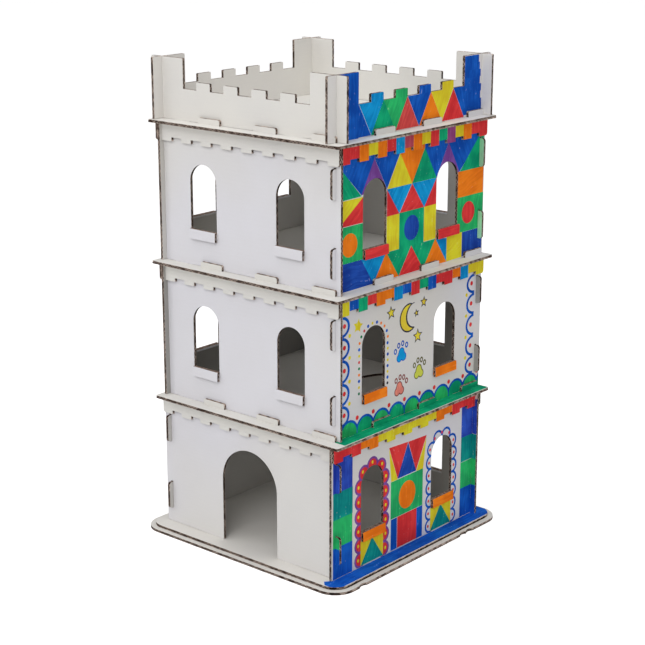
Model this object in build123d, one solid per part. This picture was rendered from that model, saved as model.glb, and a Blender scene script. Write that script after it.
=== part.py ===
from build123d import *
import os

os.makedirs("parts", exist_ok=True)

# A play house for cats, slotted together from flat sheets of corrugated board.
# Lengths are in millimetres. The front looks along -Y, the right-hand side along +X.
# The origin lies under the middle of the box, on the surface the house stands on.
# Every upright sheet is drawn as seen from outside, with its foot at zero.

# Board, and how loosely one sheet sits in another
board = 5.0
slot_play = 0.2
overrun = 12.0

# The square box: its outer width, the height of a wall and how far a wall passes its neighbour
box_side = 396.0
wall_height = 245.0
end_reach = 10.0

# Tabs on one upright edge of a wall, and the slots for them near the other edge
end_tab_height = 50.0
end_tab_head_room = 1.5
end_tab_poke = 9.0
end_tab_round = 5.0
end_tab_low = 28.0
end_tab_top_margin = 37.0

# Tabs along the foot of a wall or parapet, which drop into the sheet below
foot_tab_length = 42.0
foot_tab_relief = 0.3
base_tab_place = 89.0
foot_tab_first = -150.0
foot_tab_step = 258.0

# Arched windows, each with a sill folded out and down
window_width = 62.0
window_place = 99.5
window_top = 179.0
sill_top = 64.4
sill_drop = 16.4
fold_rise = 3.0
fold_shoulder = 2.2
fold_gap = 0.4

# Arched door in the front wall
door_width = 130.0
door_height = 184.0

# Storey floors: wide eaves at the front and right, narrow ones at the back and left
front_eave = 26.5
rear_eave = 7.5
deck_round = 4.0
climb_hole_diameter = 170.0
climb_hole_margin = 18.0

# Base of two layers, wider than the box all round, the lower one dented along its right-hand edge
base_upper_margin = 30.0
base_upper_round = 30.0
base_lower_margin = 40.0
base_lower_round = 40.0
dent_diameter = 30.0
dent_bite = 3.5
dent_share = [-0.72, 0.49, 0.57]

# Toothed strips that hang under each floor on tabs locked through it
frieze_depth = 32.5
notch_depth = 7.0
frieze_bevel = 3.0
hang_tab_length = 50.0
hang_tab_rise = 10.0
hang_tab_bevel = 2.0
hang_tab_first = -79.0
hang_tab_step = 127.25

# Battlements round the roof terrace, cross-lapped at their corners
parapet_reach = 21.0
parapet_height = 54.5
merlon_height = 68.0
tower_height = 106.0
tower_width = 76.0
merlon_bevel = 1.2
lap_height = 53.0

# Counts
window_count = 2
foot_tab_count = 2
hang_tab_count = 3
frieze_tooth_count = 9
parapet_merlon_count = 4

# Sizes that follow
half_box = box_side / 2
inner_half = half_box - board
base_top = 2 * board
storey_height = wall_height + board
end_tab_high = wall_height - end_tab_top_margin - end_tab_height
base_upper_side = box_side + 2 * base_upper_margin
base_lower_side = box_side + 2 * base_lower_margin
deck_side = box_side + front_eave + rear_eave
eave_shift = (front_eave - rear_eave) / 2
climb_hole_place = inner_half - climb_hole_margin - climb_hole_diameter / 2
parapet_half = half_box + parapet_reach
fold_base = sill_top - fold_rise
crease = half_box + fold_gap / 2

SIDES = ["front", "right", "back", "left"]
FLOORS = ["deck_lower", "deck_middle", "deck_top"]


def row(first, step, count):
    """Places along a line at an even step."""
    return [first + step * index for index in range(count)]


def centred_row(step, count):
    """Places at an even step, as many on one side of the middle as on the other."""
    return row(-step * (count - 1) / 2, step, count)


BASE_TAB_PLACES = centred_row(2 * base_tab_place, foot_tab_count)
FOOT_TAB_PLACES = row(foot_tab_first, foot_tab_step, foot_tab_count)
HANG_TAB_PLACES = row(hang_tab_first, hang_tab_step, hang_tab_count)
END_TAB_LOWS = [end_tab_low, end_tab_high]
WINDOW_PLACES = centred_row(2 * window_place, window_count)


def write(node, solid, height):
    """Lift one sheet to its height and write it to its own file."""
    placed = Pos(0, 0, height) * solid
    placed.label = node
    export_step(placed, "parts/" + node + ".step")


def cut_out(outline, outer_face):
    """Give a flat outline for the front side the board's thickness, from its outer face inwards."""
    return extrude(Plane.XZ.offset(outer_face) * outline, amount=-board)


def turned(thing, side):
    """Turn what is made for the front to another side of the box."""
    return Rot(0, 0, SIDES.index(side) * 360 / len(SIDES)) * thing


def span(left, right, low, high):
    """Rectangle between two upright lines and two level ones."""
    return Pos((left + right) / 2, (low + high) / 2) * Rectangle(right - left, high - low)


def arch(width, low, top):
    """Opening with upright sides and a half-round head."""
    spring = top - width / 2
    return span(-width / 2, width / 2, low, spring) + Pos(0, spring) * Circle(width / 2)


def wall_ends(hand):
    """Where a wall's body ends: inside the neighbour on one hand, past the other neighbour."""
    ends = [-hand * inner_half, hand * (half_box + end_reach)]
    return min(ends), max(ends)


def foot_tab(place):
    """Tab that goes down into the sheet on which a wall or parapet stands."""
    left = place - foot_tab_length / 2
    return span(left, left + foot_tab_length, foot_tab_relief - board, board)


def foot_slot(place):
    """Slot in a level sheet, under the front wall, for one foot tab."""
    slot = Rectangle(foot_tab_length + 2 * slot_play, board + 2 * slot_play)
    return Pos(place, board / 2 - half_box) * slot


def end_tab(hand, low):
    """Rounded tab on an upright edge, passed through the neighbouring wall."""
    length = end_tab_poke + board + 2 * end_tab_round
    place = half_box + end_tab_poke - length / 2
    shape = RectangleRounded(length, end_tab_height, end_tab_round)
    return Pos(-hand * place, low + end_tab_height / 2) * shape


def end_slot(hand, low):
    """Slot for the neighbour's tab, with a little head room."""
    low_edge = low - slot_play
    height = end_tab_height + slot_play + end_tab_head_room
    shape = Rectangle(board + 2 * slot_play, height)
    return Pos(hand * (half_box - board / 2), low_edge + height / 2) * shape


def sill(place):
    """Sill below a window: the board folded out over the cut edge, and its flap hanging outside."""
    reach = board + fold_gap / 2
    fold = span(-crease - reach, -crease + reach, fold_base, sill_top)
    fold = chamfer(fold.vertices().group_by(Axis.Y)[-1], fold_shoulder)
    flap = span(-crease - reach, -crease - fold_gap / 2, sill_top - sill_drop, fold_base)
    strip = extrude(Plane.YZ * (fold + flap), amount=window_width / 2, both=True)
    return Pos(place, 0, 0) * strip


def wall(hand, tab_places, has_door):
    """One wall sheet. The hand says on which end it passes its neighbour."""
    left, right = wall_ends(hand)
    outline = span(left, right, 0, wall_height)
    for low in END_TAB_LOWS:
        outline += end_tab(hand, low)
        outline -= end_slot(hand, low)
    for place in tab_places:
        outline += foot_tab(place)
    if has_door:
        return cut_out(outline - arch(door_width, -overrun, door_height), half_box)
    for place in WINDOW_PLACES:
        outline -= Pos(place, 0) * arch(window_width, fold_base, window_top)
    sheet = cut_out(outline, half_box)
    for place in WINDOW_PLACES:
        sheet += sill(place)
    return sheet


def hang_tab(place, left, right):
    """Tab of a frieze: a neck through the floor and a bevelled head resting on top of it."""
    floor_top = wall_height + board
    start = place - hang_tab_length / 2
    end = start + hang_tab_length
    head = span(start, end, floor_top, floor_top + hang_tab_rise)
    head = chamfer(head.vertices().group_by(Axis.Y)[-1], hang_tab_bevel)
    neck = span(max(start, left), min(end, right), wall_height - notch_depth, floor_top)
    return head + neck


def hang_slot(place):
    """Slot in a floor, in front of the wall, as long as the head that is passed through it."""
    slot = Rectangle(hang_tab_length + 2 * slot_play, board + 2 * slot_play)
    return Pos(place, -half_box - board / 2) * slot


def frieze(hand):
    """Toothed strip laid against the outside of a wall's top edge."""
    left, right = wall_ends(hand)
    low = wall_height - frieze_depth
    pitch = (right - left) / (2 * frieze_tooth_count - 1)
    outline = span(left, right, low, wall_height)
    free_corner = outline.vertices().group_by(Axis.Y)[0].sort_by(Axis.X)[-1 if hand > 0 else 0]
    outline = chamfer(free_corner, frieze_bevel)
    for start in row(left + pitch, 2 * pitch, frieze_tooth_count - 1):
        outline -= span(start, start + pitch, low - overrun, low + notch_depth)
    for place in HANG_TAB_PLACES:
        outline += hang_tab(place, left, right)
    return cut_out(outline, half_box + board)


def parapet(side):
    """Battlement between two corner towers, lapped with its neighbours at both ends."""
    inner_edge = parapet_half - tower_width
    pitch = 2 * inner_edge / (2 * parapet_merlon_count + 1)
    outline = span(-parapet_half, parapet_half, 0, parapet_height)
    for start in (-parapet_half, inner_edge):
        outline += span(start, start + tower_width, 0, tower_height)
    for start in row(pitch - inner_edge, 2 * pitch, parapet_merlon_count):
        outline += span(start, start + pitch, 0, merlon_height)
    levels = outline.vertices().group_by(Axis.Y)
    outline = chamfer(levels[-1] + levels[-2], merlon_bevel)
    lap_from_below = side in ("front", "back")
    low, high = (-overrun, lap_height) if lap_from_below else (lap_height, tower_height + overrun)
    lap = span(inner_half - slot_play, half_box + slot_play, low, high)
    outline -= lap + mirror(lap, Plane.YZ)
    outline -= span(-half_box - board - slot_play, -half_box, -overrun, hang_tab_rise + slot_play)
    for place in FOOT_TAB_PLACES:
        outline += foot_tab(place)
    return cut_out(outline, half_box)


def slotted(outline, slots):
    """Cut the same slots along each side of a level sheet."""
    for side in SIDES:
        for slot in slots:
            outline -= turned(slot, side)
    return outline


def deck(hole_hand):
    """Storey floor, set towards the front and right, with a climbing hole near its right side."""
    outline = Pos(eave_shift, -eave_shift) * RectangleRounded(deck_side, deck_side, deck_round)
    slots = [foot_slot(place) for place in FOOT_TAB_PLACES]
    slots += [hang_slot(place) for place in HANG_TAB_PLACES]
    hole = Circle(climb_hole_diameter / 2)
    outline -= Pos(climb_hole_place, hole_hand * climb_hole_place) * hole
    return extrude(slotted(outline, slots), amount=-board)


def base_lower():
    """Bottom sheet, with shallow dents pressed into its right-hand edge."""
    sheet = RectangleRounded(base_lower_side, base_lower_side, base_lower_round)
    sheet = extrude(sheet, amount=board)
    reach = base_lower_side / 2 + dent_diameter / 2 - dent_bite
    for share in dent_share:
        sheet -= Pos(reach, share * base_lower_side / 2, board) * Sphere(dent_diameter / 2)
    return sheet


def base_upper():
    """Top sheet of the base, slotted for the lowest walls."""
    outline = RectangleRounded(base_upper_side, base_upper_side, base_upper_round)
    slots = [foot_slot(place) for place in BASE_TAB_PLACES]
    return extrude(slotted(outline, slots), amount=board)


def main():
    """Write every sheet of the house, from the base up."""
    write("base_lower_sheet", base_lower(), 0)
    write("base_upper_sheet", base_upper(), board)
    for index, floor in enumerate(FLOORS):
        foot = base_top + storey_height * index
        hand = 1 if index else -1
        places = FOOT_TAB_PLACES if index else BASE_TAB_PLACES
        door_wall = wall(hand, places, True)
        window_wall = wall(hand, places, False)
        strip = frieze(hand)
        for side in SIDES:
            sheet = door_wall if index == 0 and side == "front" else window_wall
            write(f"wall_{index + 1}_{side}", turned(sheet, side), foot)
            write(f"frieze_{index + 1}_{side}", turned(strip, side), foot)
        write(floor, deck(-1 if index == 1 else 1), foot + storey_height)
    roof = base_top + storey_height * len(FLOORS)
    for side in SIDES:
        write("parapet_" + side, turned(parapet(side), side), roof)


main()
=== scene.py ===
import logging
import math
import random
from contextlib import contextmanager
from dataclasses import dataclass, field
from enum import Enum
from typing import Any, Callable, Iterator, Mapping, Optional, Sequence

import bmesh
import bpy
from mathutils import Euler, Matrix, Vector


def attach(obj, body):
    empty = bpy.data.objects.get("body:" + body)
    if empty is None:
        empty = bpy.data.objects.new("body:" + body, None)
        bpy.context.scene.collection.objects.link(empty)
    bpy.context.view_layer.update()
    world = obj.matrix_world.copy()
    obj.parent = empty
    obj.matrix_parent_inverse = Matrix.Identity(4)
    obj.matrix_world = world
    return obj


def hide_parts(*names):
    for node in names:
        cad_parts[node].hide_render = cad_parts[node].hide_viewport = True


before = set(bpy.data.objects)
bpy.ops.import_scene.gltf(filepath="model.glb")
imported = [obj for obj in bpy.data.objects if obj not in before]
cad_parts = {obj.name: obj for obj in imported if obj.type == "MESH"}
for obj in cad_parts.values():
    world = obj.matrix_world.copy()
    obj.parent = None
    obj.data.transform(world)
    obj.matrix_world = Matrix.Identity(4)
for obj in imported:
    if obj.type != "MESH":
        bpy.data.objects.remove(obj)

LOG = logging.getLogger("cat_house")
MM = 0.001
BODY = "root"
# Places nearer than this are the same
NEAR = 0.00002
# Least part of a normal along an axis for a face that looks that way
FACING = 0.9
# Spacing of the waves in the board
FLUTE = 7.8 * MM

Point = tuple[float, float]
Place = tuple[float, float, float]
Colour = tuple[float, float, float]
Extent = tuple[float, float, float, float]


def shade(red: int, green: int, blue: int) -> Colour:
    """Linear colour for a screen colour between 0 and 255."""
    return tuple(((c / 255 + 0.055) / 1.055) ** 2.4 if c > 10 else c / 255 / 12.92
                 for c in (red, green, blue))


class Marker(Enum):
    """Felt markers and pencils used on the house."""

    BARE = shade(236, 235, 233)
    BLUE = shade(8, 92, 200)
    DEEP_BLUE = shade(26, 76, 180)
    VIOLET_BLUE = shade(46, 82, 198)
    SKY = shade(0, 150, 222)
    GREEN = shade(0, 168, 120)
    DARK_GREEN = shade(0, 138, 84)
    LEAF = shade(40, 184, 108)
    PALE_GREEN = shade(172, 222, 184)
    TEAL = shade(0, 152, 148)
    YELLOW = shade(229, 208, 44)
    GOLD = shade(236, 206, 62)
    ORANGE = shade(252, 128, 22)
    RED = shade(232, 56, 60)
    CORAL = shade(226, 82, 80)
    SALMON = shade(238, 138, 124)
    OLIVE = shade(218, 222, 88)
    PURPLE = shade(134, 80, 168)
    PLUM = shade(192, 74, 96)
    MAUVE = shade(164, 78, 142)
    INK = shade(52, 50, 66)
    MOSS = shade(112, 112, 58)
    MAROON = shade(140, 66, 66)


class Side(Enum):
    """Sides of the house, counted round from the front."""

    FRONT = 0
    RIGHT = 1
    BACK = 2
    LEFT = 3

    @property
    def word(self) -> str:
        """Name of the side as the nodes spell it."""
        return self.name.lower()

    @property
    def turn(self) -> Matrix:
        """Rotation that takes what is made for the front to this side."""
        return Matrix.Rotation(self.value * math.pi / 2, 4, "Z")


class Lie(Enum):
    """How a sheet lies: its axes through the board, across and along the channels, and its outward way."""

    UPRIGHT = (1, 2, 0, -1)
    LEVEL = (2, 0, 1, 1)

    def __init__(self, through: int, rows: int, along: int, out: int) -> None:
        """Keep the axes."""
        self.through, self.rows, self.along, self.out = through, rows, along, out

    @property
    def turn(self) -> Matrix:
        """Takes a waved sheet made flat, its channels along X, to how this one lies.

        Returns:
            The exchange of axes.
        """
        turn = Matrix.Diagonal((0, 0, 0, 1))
        for made, axis in enumerate((self.along, self.rows, self.through)):
            turn[axis][made] = 1
        return turn


class Look(Enum):
    """The way a drawn face looks: directions of a drawing's two coordinates, and of the face."""

    RIGHT = ((0, 1, 0), (0, 0, 1), (1, 0, 0))
    UP = ((1, 0, 0), (0, 1, 0), (0, 0, 1))
    FRONT = ((1, 0, 0), (0, 0, 1), (0, -1, 0))


class Zone(Enum):
    """What a face of a sheet belongs to."""

    CORE = 0
    OUTER = 1
    INNER = 2
    SILL = 3
    # Faces inside the channels: brown kraft painted dark as the shade deep in the flutes
    HOLLOW = 4
    TORN = 5


class Layer:
    """Names of the attributes that say where a face belongs and how it is coloured."""

    ZONE = "zone"
    FIELD = "field"
    INK = "ink"
    STROKE = "stroke"
    COVER = "cover"


# Working with objects


def only(obj: bpy.types.Object) -> None:
    """Make one object the selected and active one.

    Args:
        obj: Object to select.
    """
    bpy.ops.object.select_all(action="DESELECT")
    obj.select_set(True)
    bpy.context.view_layer.objects.active = obj


@contextmanager
def editing(obj: bpy.types.Object) -> Iterator[bmesh.types.BMesh]:
    """Edit mode on one object, with nothing selected.

    Args:
        obj: Mesh object to edit.

    Returns:
        The mesh in edit mode.
    """
    only(obj)
    bpy.ops.object.mode_set(mode="EDIT")
    bpy.ops.mesh.select_mode(type="VERT")
    bpy.ops.mesh.select_all(action="DESELECT")
    yield bmesh.from_edit_mesh(obj.data)
    bpy.ops.object.mode_set(mode="OBJECT")


def choose(mesh: bmesh.types.BMesh, obj: bpy.types.Object, test: Callable[[Any], bool],
           what: str = "verts") -> None:
    """Select what passes a test and nothing else.

    Args:
        mesh: Mesh in edit mode.
        obj: Object it belongs to.
        test: Says whether an element is wanted.
        what: verts or faces.
    """
    bpy.ops.mesh.select_mode(type="VERT" if what == "verts" else "FACE")
    bpy.ops.mesh.select_all(action="DESELECT")
    for element in getattr(mesh, what):
        element.select_set(test(element))
    mesh.select_flush_mode()
    bmesh.update_edit_mesh(obj.data)


def modify(obj: bpy.types.Object, kind: str, **settings: Any) -> None:
    """Give an object a modifier and apply it.

    Args:
        obj: Object to change.
        kind: Type of the modifier.
        **settings: Its settings.
    """
    only(obj)
    modifier = obj.modifiers.new(kind.title(), kind)
    for name, value in settings.items():
        setattr(modifier, name, value)
    bpy.ops.object.modifier_apply(modifier=modifier.name)


def copy_of(obj: bpy.types.Object, name: str) -> bpy.types.Object:
    """Copy of an object with its own mesh.

    Args:
        obj: Object to copy.
        name: Name of the copy.

    Returns:
        The copy, at the same place.
    """
    twin = bpy.data.objects.new(name, obj.data.copy())
    twin.data.name = name
    bpy.context.scene.collection.objects.link(twin)
    return twin


def joined(objects: Sequence[bpy.types.Object]) -> bpy.types.Object:
    """Several objects as one mesh.

    Args:
        objects: Objects to join.

    Returns:
        The first of them, which holds them all.
    """
    only(objects[0])
    for obj in objects:
        obj.select_set(True)
    bpy.ops.object.join()
    return objects[0]


def mark(obj: bpy.types.Object, zone: Callable[[bpy.types.MeshPolygon], Zone]) -> None:
    """Write down for each face what it belongs to.

    Args:
        obj: Mesh object.
        zone: Says which zone a face is in.
    """
    layer = obj.data.attributes.new(Layer.ZONE, "INT", "FACE")
    for face in obj.data.polygons:
        layer.data[face.index].value = zone(face).value


def dress(obj: bpy.types.Object, finishes: Mapping[Zone, bpy.types.Material]) -> None:
    """Give each face the finish of its zone.

    Args:
        obj: Sheet whose faces say where they belong.
        finishes: Finish of each zone.
    """
    obj.data.materials.clear()
    for finish in dict.fromkeys(finishes.values()):
        obj.data.materials.append(finish)
    slots = {zone.value: obj.data.materials.find(finish.name) for zone, finish in finishes.items()}
    zones = obj.data.attributes[Layer.ZONE].data
    for face in obj.data.polygons:
        face.material_index = slots[zones[face.index].value]


# Shader maths


class Wire:
    """A node's output that can be used in Python expressions."""

    def __init__(self, graph: "Graph", socket: bpy.types.NodeSocket) -> None:
        """Keep the socket and the graph it is in."""
        self.graph = graph
        self.socket = socket

    def _maths(self, operation: str, *others: Any) -> "Wire":
        """Math node of an operation on this value and others."""
        return self.graph.maths(operation, self, *others)

    def __add__(self, other: Any) -> "Wire":
        """Sum."""
        return self._maths("ADD", other)

    __radd__ = __add__

    def __mul__(self, other: Any) -> "Wire":
        """Product."""
        return self._maths("MULTIPLY", other)

    __rmul__ = __mul__

    def __sub__(self, other: Any) -> "Wire":
        """Difference."""
        return self._maths("SUBTRACT", other)

    def __rsub__(self, other: Any) -> "Wire":
        """Difference, the other way round."""
        return self.graph.maths("SUBTRACT", other, self)

    def sine(self) -> "Wire":
        """Sine of the value."""
        return self._maths("SINE")

    def smooth(self, low: float, high: float) -> "Wire":
        """Smooth step from 0 at the low value to 1 at the high one."""
        node = self.graph.node("ShaderNodeMapRange", {"interpolation_type": "SMOOTHSTEP"},
                               {"Value": self, "From Min": low, "From Max": high})
        return self.graph.wire(node, "Result")


class Graph:
    """Nodes of one material."""

    def __init__(self, name: str) -> None:
        """Start an empty material.

        Args:
            name: Name of the material.
        """
        self.material = bpy.data.materials.new(name)
        self.material.use_nodes = True
        self.tree = self.material.node_tree
        self.tree.nodes.clear()

    def node(self, kind: str, settings: Optional[dict] = None,
             sockets: Optional[dict] = None) -> bpy.types.Node:
        """Add a node.

        Args:
            kind: Type of the node.
            settings: Its settings, set before its sockets.
            sockets: Values or wires for its inputs, by name or number.

        Returns:
            The node.
        """
        node = self.tree.nodes.new(kind)
        for name, value in (settings or {}).items():
            setattr(node, name, value)
        for name, value in (sockets or {}).items():
            self.plug(node.inputs[name], value)
        return node

    def plug(self, socket: bpy.types.NodeSocket, value: Any) -> None:
        """Link a wire to an input, or write a value there.

        Args:
            socket: The input.
            value: Wire, number, vector or colour.
        """
        if isinstance(value, Wire):
            self.tree.links.new(value.socket, socket)
        elif isinstance(value, tuple) and len(value) == 3 and socket.type == "RGBA":
            socket.default_value = (*value, 1.0)
        else:
            socket.default_value = value

    def wire(self, node: bpy.types.Node, output: Any = 0) -> Wire:
        """One of a node's outputs as a wire."""
        return Wire(self, node.outputs[output])

    def maths(self, operation: str, *values: Any) -> Wire:
        """Math node on numbers or wires."""
        return self.wire(self.node("ShaderNodeMath", {"operation": operation}, dict(enumerate(values))))

    def vector(self, operation: str, *values: Any, output: str = "Vector") -> Wire:
        """Vector Math node on vectors or wires."""
        node = self.node("ShaderNodeVectorMath", {"operation": operation}, dict(enumerate(values)))
        return self.wire(node, output)

    def dot(self, first: Any, second: Any) -> Wire:
        """Length of one vector along another."""
        return self.vector("DOT_PRODUCT", first, second, output="Value")

    def place(self) -> Wire:
        """Place of a point in the object's own coordinates."""
        return self.wire(self.node("ShaderNodeTexCoord"), "Object")

    def noise(self, place: Wire, scale: float, detail: float = 3.0, roughness: float = 0.5) -> Wire:
        """Cloudy noise between 0 and 1."""
        node = self.node("ShaderNodeTexNoise", {"noise_dimensions": "3D"},
                         {"Vector": place, "Scale": scale, "Detail": detail, "Roughness": roughness})
        return self.wire(node, "Fac")

    def mix(self, share: Any, first: Any, second: Any) -> Wire:
        """Blend of two colours.

        Args:
            share: Share of the second colour.
            first: Colour at share 0.
            second: Colour at share 1.

        Returns:
            The blend.
        """
        node = self.node("ShaderNodeMix", {"data_type": "RGBA"}, {"Factor": share})
        self.plug(node.inputs[6], first)
        self.plug(node.inputs[7], second)
        return self.wire(node, 2)

    def attribute(self, name: str, output: str = "Color") -> Wire:
        """Value that the faces carry under a name."""
        return self.wire(self.node("ShaderNodeAttribute", {"attribute_name": name}), output)

    def bump(self, height: Wire, distance: float, strength: float) -> Wire:
        """Normal raised by a height."""
        sockets = {"Height": height, "Distance": distance, "Strength": strength}
        return self.wire(self.node("ShaderNodeBump", None, sockets), "Normal")

    def finish(self, **sockets: Any) -> bpy.types.Material:
        """Close the material with its shader.

        Args:
            **sockets: Inputs of the shader, spaces written as underscores.

        Returns:
            The material.
        """
        named = {name.replace("_", " "): value for name, value in sockets.items()}
        shader = self.node("ShaderNodeBsdfPrincipled", None, named)
        output = self.node("ShaderNodeOutputMaterial")
        self.tree.links.new(shader.outputs[0], output.inputs[0])
        return self.material


# Finishes


@dataclass(frozen=True)
class FeltInk:
    """Felt marker on paper: strokes side by side, darker where they cross, least so in pale inks.

    Its colour, the direction of its strokes and its cover come from attributes of the faces.
    """

    length_scale: float = 14.0
    width_scale: float = 210.0
    cover_scale: float = 40.0
    streak_detail: float = 2.5
    streak_roughness: float = 0.55
    wander_scale: float = 22.0
    wander_detail: float = 1.5
    wander: float = 0.016
    patch_scale: float = 27.0
    patch_share: float = 0.58
    contrast: tuple[float, float] = (0.37, 0.65)
    lightness: Colour = (0.42, 0.84, 0.14)
    deeper: Colour = (0.72, 0.6, 0.7)
    fresher: Colour = (1.1, 1.28, 1.14)
    haze: Colour = (0.86, 0.88, 0.9)
    haze_share: float = 0.008
    dry_scale: float = 260.0
    dry_range: tuple[float, float] = (0.62, 0.72)
    dry_share: float = 0.35
    full_cover: float = 0.5

    def streaks(self, graph: Graph, cover: Wire) -> Wire:
        """Streaks along the strokes, which wander a little.

        Args:
            graph: Nodes to add to.
            cover: How fully a field is covered, which also sets its streaks apart from its neighbours'.

        Returns:
            Noise between 0 and 1.
        """
        place = graph.place()
        stroke = graph.attribute(Layer.STROKE, "Vector")
        normal = graph.wire(graph.node("ShaderNodeNewGeometry"), "True Normal")
        along = graph.dot(place, stroke)
        across = graph.dot(place, graph.vector("CROSS_PRODUCT", normal, stroke))
        wander = (graph.noise(place, self.wander_scale, self.wander_detail) - 0.5) * self.wander
        lane = graph.node("ShaderNodeCombineXYZ", None, {0: along * self.length_scale,
                                                         1: (across + wander) * self.width_scale,
                                                         2: cover * self.cover_scale})
        return graph.noise(graph.wire(lane), 1.0, self.streak_detail, self.streak_roughness)

    def over(self, graph: Graph, paper: Wire) -> Wire:
        """Colour of the paper with the marker on it, where there is any.

        Args:
            graph: Nodes to add to.
            paper: Colour of the bare paper.

        Returns:
            The colour.
        """
        cover = graph.attribute(Layer.COVER, "Fac")
        ink = graph.attribute(Layer.INK)
        streak = self.streaks(graph, cover)
        patch = graph.noise(graph.place(), self.patch_scale, detail=2.0)
        deep = graph.mix(graph.dot(ink, self.lightness), graph.vector("MULTIPLY", ink, self.deeper), ink)
        fresh = graph.mix(self.haze_share, graph.vector("MULTIPLY", ink, self.fresher), self.haze)
        share = streak * (1 - self.patch_share) + patch * self.patch_share
        wet = graph.mix(share.smooth(*self.contrast), deep, fresh)
        specks = graph.noise(graph.place(), self.dry_scale, detail=2.0)
        dry = (specks * 0.5 + streak * 0.5).smooth(*self.dry_range)
        shown = cover.smooth(0.0, self.full_cover) * (1.0 - dry * self.dry_share)
        return graph.mix(shown, paper, wet)


@dataclass(frozen=True)
class Liner:
    """Matt white paper on corrugated board, with the channels faintly showing through.

    It is cooler here and warmer there, with fibres, and a little greyer over the channels.
    """

    name: str
    across: Place
    paper: Colour = shade(228, 227, 233)
    warm: Colour = shade(230, 227, 221)
    shadowed: Colour = shade(213, 210, 210)
    ink: Optional[FeltInk] = None
    mottle_scale: float = 9.0
    mottle_share: float = 0.5
    fibre_scale: float = 900.0
    fibre_share: float = 0.4
    tint_scale: float = 2.6
    tint_range: tuple[float, float] = (0.4, 0.62)
    band_share: float = 0.012
    shadow_share: float = 0.3
    grain_scale: float = 600.0
    grain_height: float = 0.12
    dent_scale: float = 26.0
    dent_height: float = 0.6
    band_height: float = 0.015
    relief: float = 0.6 * MM
    relief_strength: float = 0.55
    roughness: tuple[float, float] = (0.74, 0.2)
    gloss: float = 0.1

    def paper_colour(self, graph: Graph, bands: Wire) -> Wire:
        """Colour of the paper.

        Args:
            graph: Nodes to add to.
            bands: Waves of the channels, between -1 and 1.

        Returns:
            The colour.
        """
        place = graph.place()
        mottle = graph.noise(place, self.mottle_scale, detail=4.0)
        fibres = graph.noise(place, self.fibre_scale, detail=2.0)
        tint = graph.noise(place, self.tint_scale, detail=1.0).smooth(*self.tint_range)
        tone = (mottle - 0.5) * self.mottle_share + (fibres - 0.5) * self.fibre_share
        tone = tone + bands * self.band_share + self.shadow_share
        return graph.mix(tone.smooth(0.0, 1.0), graph.mix(tint, self.paper, self.warm), self.shadowed)

    def build(self) -> bpy.types.Material:
        """Make the material.

        Returns:
            The material.
        """
        graph = Graph(self.name)
        place = graph.place()
        bands = (graph.dot(place, self.across) * (2 * math.pi / FLUTE)).sine()
        colour = self.paper_colour(graph, bands)
        if self.ink:
            colour = self.ink.over(graph, colour)
        grain = graph.noise(place, self.grain_scale, detail=2.0)
        dents = graph.noise(place, self.dent_scale, detail=2.0)
        height = bands * self.band_height + grain * self.grain_height + dents * self.dent_height
        least, spread = self.roughness
        return graph.finish(Base_Color=colour, Roughness=least + grain * spread,
                            Normal=graph.bump(height, self.relief, self.relief_strength),
                            Specular_IOR_Level=self.gloss)


@dataclass(frozen=True)
class Kraft:
    """Brown paper inside the board, paler and deeper in patches and along its fibres."""

    name: str
    pale: Colour
    deep: Colour
    patch_scale: float = 115.0
    fibre_scale: float = 700.0
    fibre_stretch: Place = (1.0, 1.0, 3.0)
    fibre_share: float = 0.3
    contrast: tuple[float, float] = (0.38, 0.62)
    relief: float = 0.3 * MM
    relief_strength: float = 0.6
    roughness: tuple[float, float] = (0.8, 0.15)
    gloss: float = 0.15

    def build(self) -> bpy.types.Material:
        """Make the material.

        Returns:
            The material.
        """
        graph = Graph(self.name)
        place = graph.place()
        fibres = graph.noise(graph.vector("MULTIPLY", place, self.fibre_stretch), self.fibre_scale)
        patches = graph.noise(place, self.patch_scale)
        share = (fibres * self.fibre_share + patches * (1 - self.fibre_share)).smooth(*self.contrast)
        least, spread = self.roughness
        colour = graph.mix(share, self.pale, self.deep)
        return graph.finish(Base_Color=colour, Roughness=least + fibres * spread,
                            Normal=graph.bump(fibres, self.relief, self.relief_strength),
                            Specular_IOR_Level=self.gloss)


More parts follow.
